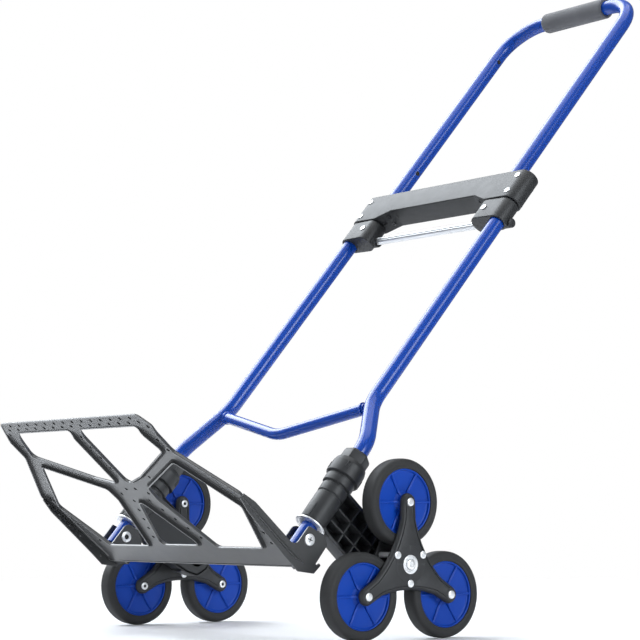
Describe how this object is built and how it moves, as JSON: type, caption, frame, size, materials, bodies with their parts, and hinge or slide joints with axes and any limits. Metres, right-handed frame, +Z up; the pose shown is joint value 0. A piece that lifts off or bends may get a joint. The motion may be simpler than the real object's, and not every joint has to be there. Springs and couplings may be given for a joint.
{
  "type": "stair climbing trolley",
  "caption": "Folding hand truck with a telescopic loop handle, hinged windowed load plate and swing-in three-wheel star wheels for climbing stairs.",
  "frame": {"origin": "on the ground under the middle of the bounding box", "axes": "+Z up, +X across to the trolley's left-hand side seen from behind the handle, -Y towards the free edge of the load plate, +Y towards the raised handle; stored leaning back 41 degrees on two wheels of each star"},
  "size_m": [0.564, 0.9622, 0.9729],
  "materials": {
    "blue_steel": "glossy powder coat",
    "blue_plastic": "satin moulded",
    "black_plastic": "satin moulded",
    "black_steel": "satin powder coat",
    "tyre_rubber": "matte",
    "grip_foam": "matte foam",
    "zinc": "bright zinc plated",
    "bar_aluminium": "polished"
  },
  "bodies": {
    "frame": {"frame_tubes": "blue_steel", "top_bridge": "black_plastic", "bridge_rivet_left_1": "zinc", "bridge_rivet_left_2": "zinc", "bridge_rivet_right_1": "zinc", "bridge_rivet_right_2": "zinc", "lock_collar_left": "black_plastic", "leg_washer_left": "zinc", "lock_collar_right": "black_plastic", "leg_washer_right": "zinc"},
    "release_button": {"release_button": "blue_plastic"},
    "handle": {"handle_tube": "blue_steel", "grip": "grip_foam", "cross_bar": "bar_aluminium", "slider_left": "black_plastic", "slider_rivet_left": "zinc", "slider_right": "black_plastic", "slider_rivet_right": "zinc"},
    "load_plate": {"toe_plate": "black_steel", "hinge_bolt_left": "zinc", "heel_left": "black_plastic", "hinge_bolt_right": "zinc", "heel_right": "black_plastic"},
    "wheel_bracket_left": {"wheel_bracket_left": "black_plastic", "star_bolt_left": "zinc"},
    "star_left": {"star_plate_outer_left": "black_plastic", "star_plate_inner_left": "black_plastic", "star_bearing_left": "zinc", "star_rivet_left_1": "zinc", "star_rivet_left_2": "zinc", "star_rivet_left_3": "zinc", "wheel_bolt_left_1": "zinc", "wheel_bolt_left_2": "zinc", "wheel_bolt_left_3": "zinc"},
    "wheel_left_1": {"tyre_left_1": "tyre_rubber", "rim_left_1": "blue_plastic"},
    "wheel_left_2": {"tyre_left_2": "tyre_rubber", "rim_left_2": "blue_plastic"},
    "wheel_left_3": {"tyre_left_3": "tyre_rubber", "rim_left_3": "blue_plastic"},
    "wheel_bracket_right": {"wheel_bracket_right": "black_plastic", "star_bolt_right": "zinc"},
    "star_right": {"star_plate_outer_right": "black_plastic", "star_plate_inner_right": "black_plastic", "star_bearing_right": "zinc", "star_rivet_right_1": "zinc", "star_rivet_right_2": "zinc", "star_rivet_right_3": "zinc", "wheel_bolt_right_1": "zinc", "wheel_bolt_right_2": "zinc", "wheel_bolt_right_3": "zinc"},
    "wheel_right_1": {"tyre_right_1": "tyre_rubber", "rim_right_1": "blue_plastic"},
    "wheel_right_2": {"tyre_right_2": "tyre_rubber", "rim_right_2": "blue_plastic"},
    "wheel_right_3": {"tyre_right_3": "tyre_rubber", "rim_right_3": "blue_plastic"}
  },
  "joints": [
    {"name": "handle_slide", "type": "slide", "parent": "frame", "child": "handle", "axis": [0, 0.6561, 0.7547], "range_m": [-0.315, 0]},
    {"name": "button_press", "type": "slide", "parent": "frame", "child": "release_button", "axis": [0, -0.6561, -0.7547], "range_m": [0, 0.005], "stiffness_N_per_m": 600, "springref_m": -0.002},
    {"name": "plate_fold", "type": "hinge", "parent": "frame", "child": "load_plate", "pos_m": [0, -0.25489, 0.12863], "axis": [-1, 0, 0], "range_deg": [0, 90]},
    {"name": "wheel_fold_left", "type": "hinge", "parent": "frame", "child": "wheel_bracket_left", "pos_m": [-0.215, -0.21553, 0.17391], "axis": [0, -0.6561, -0.7547], "range_deg": [0, 90]},
    {"name": "wheel_fold_right", "type": "hinge", "parent": "frame", "child": "wheel_bracket_right", "pos_m": [0.215, -0.21553, 0.17391], "axis": [0, 0.6561, 0.7547], "range_deg": [0, 70]},
    {"name": "star_spin_left", "type": "hinge", "parent": "wheel_bracket_left", "child": "star_left", "pos_m": [-0.259, -0.12647, 0.0965], "axis": [1, 0, 0], "continuous": true},
    {"name": "wheel_spin_left_1", "type": "hinge", "parent": "star_left", "child": "wheel_left_1", "pos_m": [-0.259, -0.12647, 0.1765], "axis": [1, 0, 0], "continuous": true},
    {"name": "wheel_spin_left_2", "type": "hinge", "parent": "star_left", "child": "wheel_left_2", "pos_m": [-0.259, -0.19575, 0.0565], "axis": [1, 0, 0], "continuous": true},
    {"name": "wheel_spin_left_3", "type": "hinge", "parent": "star_left", "child": "wheel_left_3", "pos_m": [-0.259, -0.05719, 0.0565], "axis": [1, 0, 0], "continuous": true},
    {"name": "star_spin_right", "type": "hinge", "parent": "wheel_bracket_right", "child": "star_right", "pos_m": [0.259, -0.12647, 0.0965], "axis": [1, 0, 0], "continuous": true},
    {"name": "wheel_spin_right_1", "type": "hinge", "parent": "star_right", "child": "wheel_right_1", "pos_m": [0.259, -0.12647, 0.1765], "axis": [1, 0, 0], "continuous": true},
    {"name": "wheel_spin_right_2", "type": "hinge", "parent": "star_right", "child": "wheel_right_2", "pos_m": [0.259, -0.19575, 0.0565], "axis": [1, 0, 0], "continuous": true},
    {"name": "wheel_spin_right_3", "type": "hinge", "parent": "star_right", "child": "wheel_right_3", "pos_m": [0.259, -0.05719, 0.0565], "axis": [1, 0, 0], "continuous": true}
  ]
}
